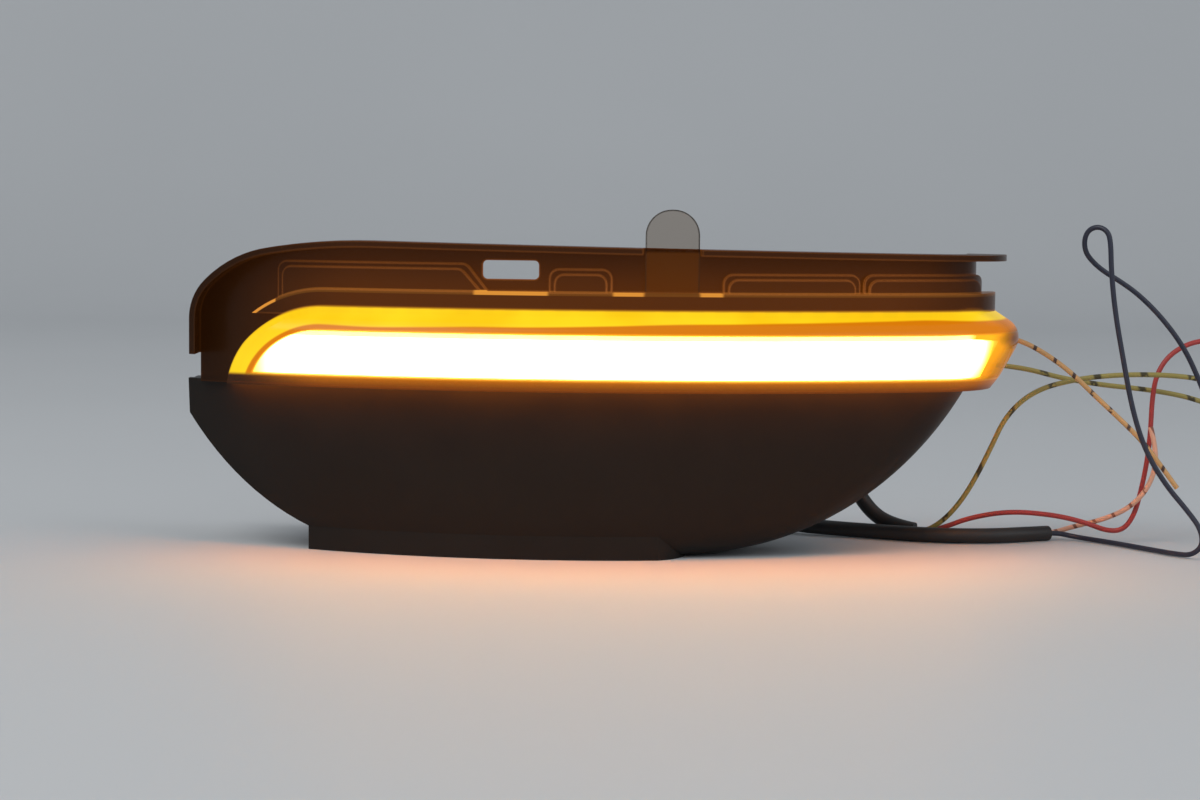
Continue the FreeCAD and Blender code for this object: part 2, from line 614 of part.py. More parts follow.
def lens_seal():
    """Bead that fills the joint between the lens's rear edge and the housing."""
    layer = band("seal_band", "lens_depth", HOUSING_FRONT,
                 "seat_level + seal_margin", f"{LENS_TOP} - seal_margin")
    outside = prism("seal_outside", inset("seal_outer_outline", LENS_OUTLINE, "seal_margin"))
    room = cut("seal_room", common("seal_space", [
        band("seal_inner", "lens_depth - seal_thick", f"{HOUSING_FRONT} + seal_thick",
             "seat_level + housing_wall", f"{LENS_TOP} - housing_wall"),
        prism("seal_inside", inset("seal_inner_outline", LENS_OUTLINE, "housing_wall"))]),
        [end_wall("seal_end", "housing_wall")])
    return cut("seal", common("seal_layer", [layer, outside]), [room])


def cover_screws():
    """Pan-head screws up through the cover's ledge into the housing's posts."""
    pieces = []
    for i, angle in enumerate(screw_angles()):
        def place(level):
            return upright(angle, value("screw_setback"), value(level))
        under = "(seat_level - ledge_thick)"
        shank = cylinder(f"shank_{i}", "screw_radius", "screw_length", place(under))
        head = cylinder(f"head_{i}", "screw_head_radius", "screw_head_height",
                        place(f"{under} - screw_head_height"))
        recess = cylinder(f"recess_{i}", "screw_recess_radius", "screw_recess_depth",
                          place(f"{under} - screw_head_height"))
        pieces.append(cut(f"screw_{i}", fuse(f"screw_body_{i}", [shank, head]), [recess]))
    return group("screws", pieces)


# Lower cover: like plan sections, one above the other, that grow as a round does from a flat bottom

COVER_TOP = value("seat_level + cover_left_rise")
COVER_SECTIONS = 7


def cover_growth(height):
    """How far the cover reaches past its flat bottom at a height above it."""
    return math.sqrt(2 * value("cover_round") * height - height * height)


def cover_scale(height):
    """Size of the section at a height, as a share of the section at the top."""
    flat = value("cover_flat_half")
    return (flat + cover_growth(height)) / (flat + cover_growth(COVER_TOP - value("cover_bottom")))


def cover_section(level, scale, margin):
    """Plan outline of the cover: front arc, corner arc, straight right, back and left sides."""
    setback = value("cover_setback") + margin
    radius = value("front_radius") - setback
    left = margin - value("cover_left_top")
    back = value("cover_rear_top") - margin
    left_angle = math.degrees(math.asin(left / radius))
    corner = value(CORNER)
    side = value("side_angle")
    around = [strip_point(angle, setback, 0) for angle in (
        left_angle, (left_angle + corner) / 2, corner, (corner + side) / 2, side)]
    around += [Vector(around[-1].x, back, 0), Vector(left, back, 0)]
    points = []
    for point in around:
        middle = Vector(value("cover_middle") + value("cover_spread") * point.x, value("cover_axis"), 0)
        points.append(middle + (point - middle) * scale + Vector(0, 0, level))
    first, front, turn, bend, right, back_right, back_left = points
    return Part.Wire([
        Part.Arc(first, front, turn).toShape(), Part.Arc(turn, bend, right).toShape(),
        Part.LineSegment(right, back_right).toShape(), Part.LineSegment(back_right, back_left).toShape(),
        Part.LineSegment(back_left, first).toShape()])


def cover_loft(name, margin, rise):
    """Loft through the cover's sections, moved in by a margin and raised by it, up past the top by a rise."""
    bottom = value("cover_bottom") + margin
    swing = value("cover_round")
    top_angle = math.acos(1 - (COVER_TOP + rise - bottom) / swing)
    sections = []
    for i in range(COVER_SECTIONS):
        height = swing * (1 - math.cos(top_angle * i / (COVER_SECTIONS - 1)))
        sections.append(cover_section(bottom + height, cover_scale(height), margin))
    item = doc.addObject("Part::Feature", name)
    item.Shape = Part.makeLoft(sections, True)
    return item


def cover_foot(outer):
    """Flat foot: the cover's outline a little above its bottom, carried down, with a rounded right end."""
    height = value("foot_height")
    ring = cover_section(0, cover_scale(height - value("cover_bottom")), 0)
    plinth = doc.addObject("Part::Feature", "foot_plinth")
    plinth.Shape = Part.Face(ring).extrude(Vector(0, 0, height))
    pad = doc.addObject("Part::Extrusion", "foot_pad")
    pad.Base = outline("foot_outline", [
        ("-cover_left_top", "-foot_front", None), ("foot_right", "-foot_front", "foot_round"),
        ("foot_right", "foot_rear", "foot_round"), ("-cover_left_top", "foot_rear", None)],
        FreeCAD.Placement())
    pad.DirMode = "Normal"
    pad.Solid = True
    bind(pad, LengthFwd="foot_height")
    return cut("foot", common("foot_block", [plinth, pad]), [outer])


def lower_cover():
    """Bowl with an open back, a ledge for the lamp, ribs, screw bosses and a flat foot."""
    wall = value("cover_wall")
    outer = cover_loft("cover_outer", 0, 0)
    inner = cover_loft("cover_inner", wall, wall)
    deep = cover_loft("cover_deep", value("cover_wall + rib_height"), wall)
    ledge = common("cover_ledge", [
        band("cover_ledge_band", "cover_setback", "ledge_back", "seat_level - ledge_thick", "seat_level"),
        outer])
    width = "left_reach + right_reach"
    reach = value("right_reach")
    back = value("cover_back")
    ribs = []
    bosses = []
    bores = []
    for i in range(round(value("rib_count"))):
        x = value("boss_middle") + value("boss_spacing") * (i / (value("rib_count") - 1) - 0.5)
        place = FreeCAD.Placement(Vector(x - value("rib_thick") / 2, -2 * back, 0), FreeCAD.Rotation())
        plate = box(f"rib_plate_{i}", "rib_thick", "4 * cover_back", "boss_level + boss_radius", place)
        ribs.append(cut(f"rib_{i}", common(f"rib_block_{i}", [plate, outer]), [deep]))
        if i in (0, round(value("rib_count")) - 1):
            def rear(start):
                return FreeCAD.Placement(Vector(x, back - start, value("boss_level")),
                                         FreeCAD.Rotation(Vector(1, 0, 0), -90))
            bosses.append(cylinder(f"boss_{i}", "boss_radius", "boss_length", rear(value("boss_length"))))
            bores.append(cylinder(f"boss_bore_{i}", "boss_bore", "boss_length",
                                  rear(value("boss_length - cover_wall"))))
    shell = cut("cover_shell", outer, [inner])
    body = fuse("cover_body", [shell, ledge, cover_foot(outer)] + ribs + bosses)
    left_side = box("cover_left_side", width, "4 * cover_back", "2 * seat_level", FreeCAD.Placement(
        Vector(-value("left_reach") - value(width), -2 * back, 0), FreeCAD.Rotation()))
    rear_side = box("cover_rear_side", f"2 * ({width})", "4 * cover_back", "2 * seat_level",
                    FreeCAD.Placement(Vector(-2 * reach, back, 0), FreeCAD.Rotation()))
    seat = box("cover_seat", width, "4 * cover_back", "seat_level", FreeCAD.Placement(
        Vector(-value("seat_left"), -2 * back, value("seat_level")), FreeCAD.Rotation()))
    passages = [cylinder(f"passage_{i}", "screw_radius + screw_clearance", "3 * ledge_thick",
                         upright(angle, value("screw_setback"), value("seat_level - 2 * ledge_thick")))
                for i, angle in enumerate(screw_angles())]
    return cut("cover", body, [left_side, rear_side, seat] + passages + bores)


# Leads: routes as points, in straight runs joined by tangent arcs

SLEEVE_SHORT = [
    (48.5, 24, 52.5), (56, 35.5, 43), (64, 42, 30), (70, 44.5, 16), (75, 42.5, 7.5),
    (81, 39.5, 3.5), (87.5, 36, 2.6)]
SLEEVE_LONG = [
    (37.5, 24, 52), (37, 37, 43), (37.5, 46, 30), (39, 50.5, 16), (44, 51, 6),
    (53, 46, 2.6), (66, 39.5, 2.3), (80, 33, 2.2), (94, 27, 2.2), (108, 27.5, 2.2), (118, 32, 2.2),
    (124.8, 35.7, 2.1)]
OLIVE_FRONT = [
    (94.5, 32.6, 5.2), (98.8, 31.6, 10), (102.8, 30.7, 16.5), (107, 28.5, 26), (111, 26.5, 36),
    (118.5, 25.2, 43), (129.8, 24.3, 46.3), (141.6, 24, 47.6), (153.9, 24, 47.7), (165, 24.3, 46.6),
    (175.5, 24.4, 42), (184, 24, 34), (190, 23.3, 24), (194, 22.6, 14), (197.5, 22.1, 6.5),
    (201.5, 22, 3.3), (206, 22, 3.3)]
RED = [
    (95.5, 34, 3.6), (102.5, 33.4, 6.5), (113.4, 33, 8.5), (125.7, 33.2, 7.6), (134.6, 33.2, 5.6),
    (140.8, 33, 3.2), (145.2, 32, 3.6), (148, 31, 8), (149.6, 30, 15.5), (150.9, 29.2, 24), (151.5, 29, 32.5),
    (151.7, 29.2, 40.5), (152.8, 29.6, 47.5), (156.5, 30.4, 53), (163, 31.5, 56.5), (171, 33, 57),
    (179, 35, 53), (186, 37, 45.5), (191.5, 38.8, 35.5), (195.5, 39.8, 24.5), (198.5, 40, 14.5),
    (200, 40, 7.5), (202.3, 40, 3.3), (206, 40, 3.3)]
PINK = [
    (131, 38.2, 3.3), (135, 36.6, 4.6), (140, 33.8, 6.4), (145.9, 29.8, 9.8), (150.3, 27, 15.2),
    (152.6, 26.2, 21.6), (152.3, 26.2, 28), (151, 26.8, 33)]
BLUE = [
    (132, 35.9, 1.2), (136.2, 32.3, 0.9), (141, 25.5, 0.9), (146, 17, 0.9), (150.3, 9.5, 0.9),
    (153.8, 3.8, 0.9), (157, -0.4, 1.1), (159.6, -2.2, 3.8), (159.4, -0.9, 8.1), (156, 1.5, 13),
    (150.5, 3.3, 19.5), (145, 4.2, 28.5), (141.4, 5, 39.5), (138.9, 6, 52.5), (136.6, 7, 65),
    (135.4, 7.8, 76), (135.1, 8.2, 84.5), (134.2, 8.8, 87.2), (131.9, 10.2, 88.3), (129.6, 11.6, 87.2),
    (128.7, 12.2, 84.5), (129.3, 12.9, 81.2), (131.5, 13.6, 78.6), (134.5, 14.2, 76.2), (138.5, 14.9, 73.9),
    (144, 15.4, 70.3),
    (150.5, 15.6, 64.2), (157, 15.7, 56), (161.5, 15.8, 47), (165.5, 16, 37), (170.5, 16.3, 27),
    (177, 16.9, 17.5), (185, 17.5, 10), (194, 18, 5.2), (200.5, 18, 3.3), (206, 18, 3.3)]
OLIVE_REAR = [
    (67.5, 17.5, 55.5), (73, 24.5, 54.5), (82, 29.5, 53), (92.5, 32, 51.3), (102, 33, 50),
    (110.8, 33.2, 49.2), (118.3, 33, 48.2), (127, 33, 45.9), (138, 33, 44.1), (151.8, 33, 42.9),
    (164.4, 33.2, 40.6), (175.5, 33.7, 36), (184.5, 34.5, 28.5), (191.5, 35.3, 19), (196.5, 35.9, 10),
    (200, 36, 5), (202.8, 36, 3.3), (206, 36, 3.3)]
ORANGE = [
    (64.5, 15.5, 57), (70.5, 19.5, 58.5), (79.5, 21, 59.8), (90, 21, 60.3), (101, 20.3, 59.8),
    (113, 19.2, 57.2), (120, 19, 53.6), (127.2, 19, 48.5), (133.7, 19, 42.3), (140.7, 19, 36),
    (147.2, 19, 29.8), (152.6, 19, 22.9), (157, 19, 17)]


def outlet_exit(outlet, side, stub):
    """First two points of a lead that leaves a grommet's outer face on its left (-1) or right (1)."""
    _, angle, half, _, _ = outlet
    face = strip_point(angle, value(f"housing_back + {SEAT_SAG} + grommet_flange"), value(OUTLET_LEVEL))
    start = face + strip_turn(angle).multVec(Vector(side * value(half), 0, 0))
    return [start, start + inward(angle) * value(stub)]


def sleeve_exit(route, side):
    """First two points of a lead that leaves a sleeve's end face on its left (-1) or right (1)."""
    before, end = (Vector(*point) for point in route[-2:])
    ahead = (end - before).normalize()
    start = end + ahead.cross(Vector(0, 0, 1)).normalize() * (side * value("lead_spread") / 2)
    return [start, start + ahead * value("lead_stub")]


def lead_path(name, points):
    """Wire of straight runs joined by arcs, each as large as its two runs allow."""
    edges = []
    radii = []
    start = points[0]
    for before, corner, after in zip(points, points[1:], points[2:]):
        turn = math.pi - (before - corner).getAngle(after - corner)
        shorter = min((before - corner).Length, (after - corner).Length)
        radius = value("bend_share") * shorter / math.tan(turn / 2)
        radii.append(radius)
        first, second, centre, _ = rounded_corner(before, corner, after, radius)
        middle = centre + (corner - centre).normalize() * radius
        edges.append(Part.LineSegment(start, first).toShape())
        edges.append(Part.Arc(first, middle, second).toShape())
        start = second
    edges.append(Part.LineSegment(start, points[-1]).toShape())
    print(f"{name}: smallest radius {min(radii):.1f}, {len(points)} points")
    return Part.Wire(edges)


def lead(name, first_points, route, diameter):
    """A plain tube of one lead or sleeve along its route."""
    points = first_points + [Vector(*point) for point in route]
    path = lead_path(name, points)
    radius = value(diameter) / 2
    ring = Part.Wire(Part.makeCircle(radius, points[0], points[1] - points[0]))
    tube = path.makePipeShell([ring], True, False)
    wanted = math.pi * radius * radius * path.Length
    print(f"{name}: length {path.Length:.1f}, volume {tube.Volume:.1f} of {wanted:.1f}")
    item = doc.addObject("Part::Feature", name)
    item.Shape = tube
    return item


def plane_sketch(body, name, role, corners, offset):
    """A bound sketch in a body, on one of its origin planes moved by an offset."""
    sketch = outline(name, corners, FreeCAD.Placement(), body)
    sketch.AttachmentSupport = [
        (plane, "") for plane in body.Origin.OriginFeatures if plane.Role == role]
    sketch.MapMode = "FlatFace"
    sketch.AttachmentOffset = FreeCAD.Placement(offset, FreeCAD.Rotation())
    return sketch


def plug(name, middle):
    """Plug housing that lies on its side: a block with a mating mouth and a latch on top."""
    body = doc.addObject("PartDesign::Body", name)
    block = body.newObject("PartDesign::Pad", f"{name}_block")
    block.Profile = plane_sketch(body, f"{name}_outline", "XY_Plane", rectangle(
        "0", "-plug_width / 2", "plug_length", "plug_width / 2"), Vector())
    bind(block, Length="plug_height")
    latch = body.newObject("PartDesign::Pad", f"{name}_latch")
    latch.Profile = plane_sketch(body, f"{name}_latch_outline", "XY_Plane", rectangle(
        "plug_length - plug_cavity_depth", "-plug_latch_width / 2", "plug_length - plug_wall",
        "plug_latch_width / 2"), Vector(0, 0, value("plug_height")))
    bind(latch, Length="plug_latch_height")
    mouth = body.newObject("PartDesign::Pocket", f"{name}_mouth")
    mouth.Profile = plane_sketch(body, f"{name}_mouth_outline", "YZ_Plane", rectangle(
        "-plug_width / 2 + plug_wall", "plug_wall", "plug_width / 2 - plug_wall", "plug_height - plug_wall"),
        Vector(0, 0, value("plug_length")))
    bind(mouth, Length="plug_cavity_depth")
    body.Tip = mouth
    body.Placement = FreeCAD.Placement(Vector(value("plug_start"), value(middle), 0), FreeCAD.Rotation())
    return body


def plug_pins():
    """Contact pins that stand in the plugs' mouths."""
    pins = []
    along = FreeCAD.Rotation(Vector(0, 1, 0), 90)
    for middle in ("front_plug_middle", "rear_plug_middle"):
        for side in (-1, 1):
            root = Vector(value("plug_start + plug_length - plug_cavity_depth"),
                          value(f"{middle} + {side} * plug_pin_pitch / 2"), value("plug_height / 2"))
            pins.append(cylinder(f"pin_{len(pins)}", "pin_radius", "plug_cavity_depth - plug_wall",
                                 FreeCAD.Placement(root, along)))
    return group("pins", pins)


NODES = {}


def add_node(name, item):
    """Name a finished piece as a node."""
    item.Label = name
    NODES[name] = item


add_node("outer_lens", outer_lens())
add_node("light_guide", light_guide())
add_node("reflector_tray", reflector_tray())
add_node("led_board", led_board())
add_node("leds", leds())
add_node("resistors", resistors())
add_node("driver_chip", driver_chip())
add_node("rear_housing", rear_housing())
add_node("lens_seal", lens_seal())
add_node("main_grommet", grommet(outlets()[0]))
add_node("side_grommet", grommet(outlets()[1]))
add_node("vent_plug", vent_plug())
add_node("cover_screws", cover_screws())
add_node("lower_cover", lower_cover())
MAIN, SIDE = outlets()
LEADS = [
    ("sleeve_short", outlet_exit(MAIN, 1, "sleeve_stub"), SLEEVE_SHORT, "sleeve_diameter"),
    ("sleeve_long", outlet_exit(MAIN, -1, "sleeve_stub"), SLEEVE_LONG, "sleeve_diameter"),
    ("lead_olive_front", sleeve_exit(SLEEVE_SHORT, 1), OLIVE_FRONT, "lead_diameter"),
    ("lead_red", sleeve_exit(SLEEVE_SHORT, -1), RED, "lead_diameter"),
    ("lead_pink", sleeve_exit(SLEEVE_LONG, -1), PINK, "lead_diameter"),
    ("lead_blue", sleeve_exit(SLEEVE_LONG, 1), BLUE, "lead_diameter"),
    ("lead_olive_rear", outlet_exit(SIDE, 1, "side_stub"), OLIVE_REAR, "lead_diameter"),
    ("lead_orange", outlet_exit(SIDE, -1, "side_stub"), ORANGE, "lead_diameter")]
for lead_name, first_points, route, diameter in LEADS:
    add_node(lead_name, lead(f"{lead_name}_tube", first_points, route, diameter))
add_node("front_plug", plug("front_plug_body", "front_plug_middle"))
add_node("rear_plug", plug("rear_plug_body", "rear_plug_middle"))
add_node("plug_pins", plug_pins())

doc.recompute()
for item in doc.Objects:
    if "Invalid" in item.State or "Error" in item.State:
        raise SystemExit(f"{item.Name} failed: {item.State}")
os.makedirs("parts", exist_ok=True)
for name, item in NODES.items():
    shape = item.Shape
    if shape.isNull() or not shape.isValid():
        raise SystemExit(f"{name} has no valid shape")
    shape.exportStep(f"parts/{name}.step")
    print(name, len(shape.Solids), round(shape.Volume), shape.BoundBox)
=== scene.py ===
"""Looks of the mirror turn signal lamp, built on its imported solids. Metres, +Z up, front along -Y."""
import math

import bpy
from mathutils import Euler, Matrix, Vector


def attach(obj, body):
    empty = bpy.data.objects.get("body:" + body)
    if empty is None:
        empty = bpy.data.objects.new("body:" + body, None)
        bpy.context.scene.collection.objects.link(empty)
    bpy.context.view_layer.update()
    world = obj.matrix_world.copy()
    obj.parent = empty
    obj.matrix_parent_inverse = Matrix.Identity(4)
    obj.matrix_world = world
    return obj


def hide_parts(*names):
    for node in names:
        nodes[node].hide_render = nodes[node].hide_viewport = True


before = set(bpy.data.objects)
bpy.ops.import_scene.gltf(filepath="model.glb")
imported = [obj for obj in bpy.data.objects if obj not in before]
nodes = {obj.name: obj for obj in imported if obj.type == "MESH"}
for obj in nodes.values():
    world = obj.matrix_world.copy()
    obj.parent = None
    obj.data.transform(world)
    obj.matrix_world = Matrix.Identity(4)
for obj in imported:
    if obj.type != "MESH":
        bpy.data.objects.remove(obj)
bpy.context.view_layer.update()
scene = bpy.context.scene
scene.view_settings.view_transform = "Standard"


# Shader helpers

class Tree:
    """A material's nodes, with short ways to add and join them."""

    def __init__(self, name):
        self.material = bpy.data.materials.new(name)
        self.material.use_nodes = True
        self.nodes = self.material.node_tree.nodes
        self.links = self.material.node_tree.links
        self.shader = self.nodes["Principled BSDF"]
        self.output = self.nodes["Material Output"]
        coordinates = self.nodes.new("ShaderNodeTexCoord")
        self.place = coordinates.outputs["Object"]
        self.facing = coordinates.outputs["Normal"]

    def feed(self, socket, source):
        """Give a socket a value, or join it to another node's output."""
        if isinstance(source, bpy.types.NodeSocket):
            self.links.new(source, socket)
        else:
            socket.default_value = source

    def node(self, kind, settings=None, **inputs):
        """A new node with its settings, and its inputs by name with _ for a space."""
        item = self.nodes.new(f"ShaderNode{kind}")
        for key, setting in (settings or {}).items():
            setattr(item, key, setting)
        for key, source in inputs.items():
            self.feed(item.inputs[key.replace("_", " ")], source)
        return item

    def principled(self, **inputs):
        """Set the main shader's inputs by name with _ for a space."""
        for key, source in inputs.items():
            self.feed(self.shader.inputs[key.replace("_", " ")], source)

    def split(self, vector):
        """The three coordinates of a vector."""
        return self.node("SeparateXYZ", Vector=vector).outputs

    def math(self, operation, *values, clamp=False):
        """The result of a Math node."""
        item = self.node("Math", {"operation": operation, "use_clamp": clamp})
        for socket, source in zip(item.inputs, values):
            self.feed(socket, source)
        return item.outputs[0]

    def product(self, first, *others):
        """All the values multiplied."""
        for other in others:
            first = self.math("MULTIPLY", first, other)
        return first

    def total(self, first, *others):
        """All the values added."""
        for other in others:
            first = self.math("ADD", first, other)
        return first

    def share(self, *values):
        """All the values added and kept between zero and one."""
        return self.math("ADD", self.total(*values), 0.0, clamp=True)

    def distance(self, *steps):
        """Length of a step given by its coordinates."""
        return self.math("SQRT", self.total(*(self.product(step, step) for step in steps)))

    def ramp(self, source, low, high, start=0.0, end=1.0):
        """A smooth step of a value from one number to another."""
        item = self.node("MapRange", {"interpolation_type": "SMOOTHSTEP"}, Value=source, From_Min=low,
                         From_Max=high, To_Min=start, To_Max=end)
        return item.outputs[0]

    def window(self, source, low, high, soft):
        """One between two numbers and zero outside them, with soft ends."""
        rise = self.ramp(source, low - soft, low + soft)
        fall = self.ramp(source, high - soft, high + soft, 1.0, 0.0)
        return self.product(rise, fall)

    def noise(self, scale, detail=2.0):
        """Noise over the object's own coordinates."""
        return self.node("TexNoise", Vector=self.place, Scale=scale, Detail=detail).outputs[0]

    def mix(self, share, first, second):
        """A colour between two colours."""
        item = self.node("Mix", {"data_type": "RGBA"})
        for number, source in ((0, share), (6, first), (7, second)):
            self.feed(item.inputs[number], source)
        return item.outputs[2]

    def bump(self, height, strength, distance):
        """A normal raised by a height."""
        return self.node("Bump", Height=height, Strength=strength, Distance=distance).outputs[0]


def rgb(*values):
    """A colour with full alpha."""
    return (*values, 1.0)


def plastic(name, dark, light, roughness, grain=1500, depth=0.00004, specular=0.5):
    """Moulded plastic or rubber: a fine grain, and slow changes of colour and gloss."""
    tree = Tree(name)
    slow = tree.noise(60, 3)
    tree.principled(
        Base_Color=tree.mix(slow, rgb(*dark), rgb(*light)),
        Roughness=tree.ramp(slow, 0.3, 0.7, roughness - 0.05, roughness + 0.06),
        Normal=tree.bump(tree.noise(grain), 0.35, depth), Specular_IOR_Level=specular)
    return tree.material


def metal(name, dark, light, roughness):
    """Plain metal: a fine grain, and changes of colour and gloss."""
    tree = Tree(name)
    slow = tree.noise(400, 3)
    tree.principled(
        Base_Color=tree.mix(slow, rgb(*dark), rgb(*light)), Metallic=1.0,
        Roughness=tree.ramp(slow, 0.3, 0.7, roughness - 0.06, roughness + 0.08),
        Normal=tree.bump(tree.noise(5000, 1), 0.15, 0.00002))
    return tree.material


def insulation(name, colour, mark=None, spacing=0.012, lean=0.3):
    """Thin lead insulation, with short marks along it where it has them."""
    tree = Tree(name)
    paler = tuple(min(1.0, channel * 1.25 + 0.01) for channel in colour)
    base = tree.mix(tree.noise(90), rgb(*colour), rgb(*paler))
    if mark:
        along_x, _, along_z = tree.split(tree.place)
        run = tree.total(along_x, tree.product(along_z, lean))
        turn = tree.math("FRACT", tree.math("DIVIDE", run, spacing))
        patch = tree.product(tree.window(turn, 0.42, 0.58, 0.03), tree.ramp(tree.noise(700, 1), 0.3, 0.45))
        base = tree.mix(patch, base, rgb(*mark))
    tree.principled(Base_Color=base, Roughness=0.42, Normal=tree.bump(tree.noise(2500), 0.2, 0.00002))
    return tree.material


def dress(material, *names):
    """Give nodes one material."""
    for name in names:
        slots = nodes[name].data.materials
        slots.clear()
        slots.append(material)


# Camera at the photograph's angle

VIEW_TARGET = Vector((-0.00106, 0.0, 0.041))
VIEW_ELEVATION = math.radians(4.5)
VIEW_DISTANCE = 0.7
VIEW_ROLL = math.radians(0.6)
VIEW_LENS = 79.05
SENSOR_WIDTH = 36

camera = bpy.data.objects.new("camera", bpy.data.cameras.new("camera"))
scene.collection.objects.link(camera)
camera.data.lens = VIEW_LENS
camera.data.sensor_width = SENSOR_WIDTH
camera.data.clip_start = 0.01
camera.data.clip_end = 50
away = Vector((0, -math.cos(VIEW_ELEVATION), math.sin(VIEW_ELEVATION)))
camera.location = VIEW_TARGET + away * VIEW_DISTANCE
camera.rotation_mode = "QUATERNION"
camera.rotation_quaternion = (
    (-away).to_track_quat("-Z", "Y") @ Euler((0, 0, VIEW_ROLL)).to_quaternion())
scene.camera = camera

# Leads: the routes of their solids

SLEEVE_SHORT = [
    (0.04895, -0.0027, 0.056), (0.04655, 0.00906, 0.056), (0.0485, 0.024, 0.0525), (0.056, 0.0355, 0.043),
    (0.064, 0.042, 0.03), (0.07, 0.0445, 0.016), (0.075, 0.0425, 0.0075), (0.081, 0.0395, 0.0035),
    (0.0875, 0.036, 0.0026)]
SLEEVE_LONG = [
    (0.04287, -0.00394, 0.056), (0.04048, 0.00782, 0.056), (0.0375, 0.024, 0.052), (0.037, 0.037, 0.043),
    (0.0375, 0.046, 0.03), (0.039, 0.0505, 0.016), (0.044, 0.051, 0.006), (0.053, 0.046, 0.0026),
    (0.066, 0.0395, 0.0023), (0.08, 0.033, 0.0022), (0.094, 0.027, 0.0022), (0.108, 0.0275, 0.0022),
    (0.118, 0.032, 0.0022), (0.1248, 0.0357, 0.0021)]
OLIVE_FRONT = [
    (0.08712, 0.0353, 0.0026), (0.08974, 0.03388, 0.00224), (0.0945, 0.0326, 0.0052),
    (0.0988, 0.0316, 0.01), (0.1028, 0.0307, 0.0165), (0.107, 0.0285, 0.026), (0.111, 0.0265, 0.036),
    (0.1185, 0.0252, 0.043), (0.1298, 0.0243, 0.0463), (0.1416, 0.024, 0.0476), (0.1539, 0.024, 0.0477),
    (0.165, 0.0243, 0.0466), (0.1755, 0.0244, 0.042), (0.184, 0.024, 0.034), (0.19, 0.0233, 0.024),
    (0.194, 0.0226, 0.014), (0.1975, 0.0221, 0.0065), (0.2015, 0.022, 0.0033), (0.206, 0.022, 0.0033)]
RED = [
    (0.08788, 0.0367, 0.0026), (0.0905, 0.03529, 0.00224), (0.0955, 0.034, 0.0036),
    (0.1025, 0.0334, 0.0065), (0.1134, 0.033, 0.0085), (0.1257, 0.0332, 0.0076), (0.1346, 0.0332, 0.0056),
    (0.1408, 0.033, 0.0032), (0.1452, 0.032, 0.0036), (0.148, 0.031, 0.008), (0.1496, 0.03, 0.0155),
    (0.1509, 0.0292, 0.024), (0.1515, 0.029, 0.0325), (0.1517, 0.0292, 0.0405), (0.1528, 0.0296, 0.0475),
    (0.1565, 0.0304, 0.053), (0.163, 0.0315, 0.0565), (0.171, 0.033, 0.057), (0.179, 0.035, 0.053),
    (0.186, 0.037, 0.0455), (0.1915, 0.0388, 0.0355), (0.1955, 0.0398, 0.0245), (0.1985, 0.04, 0.0145),
    (0.2, 0.04, 0.0075), (0.2023, 0.04, 0.0033), (0.206, 0.04, 0.0033)]
PINK = [
    (0.12442, 0.0364, 0.0021), (0.12705, 0.03784, 0.00206), (0.131, 0.0382, 0.0033),
    (0.135, 0.0366, 0.0046), (0.14, 0.0338, 0.0064), (0.1459, 0.0298, 0.0098), (0.1503, 0.027, 0.0152),
    (0.1526, 0.0262, 0.0216), (0.1523, 0.0262, 0.028), (0.151, 0.0268, 0.033)]
BLUE = [
    (0.12518, 0.035, 0.0021), (0.12782, 0.03643, 0.00206), (0.132, 0.0359, 0.0012),
    (0.1362, 0.0323, 0.0009), (0.141, 0.0255, 0.0009), (0.146, 0.017, 0.0009), (0.1503, 0.0095, 0.0009),
    (0.1538, 0.0038, 0.0009), (0.157, -0.0004, 0.0011), (0.1596, -0.0022, 0.0038),
    (0.1594, -0.0009, 0.0081), (0.156, 0.0015, 0.013), (0.1505, 0.0033, 0.0195), (0.145, 0.0042, 0.0285),
    (0.1414, 0.005, 0.0395), (0.1389, 0.006, 0.0525), (0.1366, 0.007, 0.065), (0.1354, 0.0078, 0.076),
    (0.1351, 0.0082, 0.0845), (0.1342, 0.0088, 0.0872), (0.1319, 0.0102, 0.0883),
    (0.1296, 0.0116, 0.0872), (0.1287, 0.0122, 0.0845), (0.1293, 0.0129, 0.0812),
    (0.1315, 0.0136, 0.0786), (0.1345, 0.0142, 0.0762), (0.1385, 0.0149, 0.0739), (0.144, 0.0154, 0.0703),
    (0.1505, 0.0156, 0.0642), (0.157, 0.0157, 0.056), (0.1615, 0.0158, 0.047), (0.1655, 0.016, 0.037),
    (0.1705, 0.0163, 0.027), (0.177, 0.0169, 0.0175), (0.185, 0.0175, 0.01), (0.194, 0.018, 0.0052),
    (0.2005, 0.018, 0.0033), (0.206, 0.018, 0.0033)]
OLIVE_REAR = [
    (0.06942, 0.00277, 0.056), (0.06756, 0.00879, 0.056), (0.0675, 0.0175, 0.0555),
    (0.073, 0.0245, 0.0545), (0.082, 0.0295, 0.053), (0.0925, 0.032, 0.0513), (0.102, 0.033, 0.05),
    (0.1108, 0.0332, 0.0492), (0.1183, 0.033, 0.0482), (0.127, 0.033, 0.0459), (0.138, 0.033, 0.0441),
    (0.1518, 0.033, 0.0429), (0.1644, 0.0332, 0.0406), (0.1755, 0.0337, 0.036), (0.1845, 0.0345, 0.0285),
    (0.1915, 0.0353, 0.019), (0.1965, 0.0359, 0.01), (0.2, 0.036, 0.005), (0.2028, 0.036, 0.0033),
    (0.206, 0.036, 0.0033)]
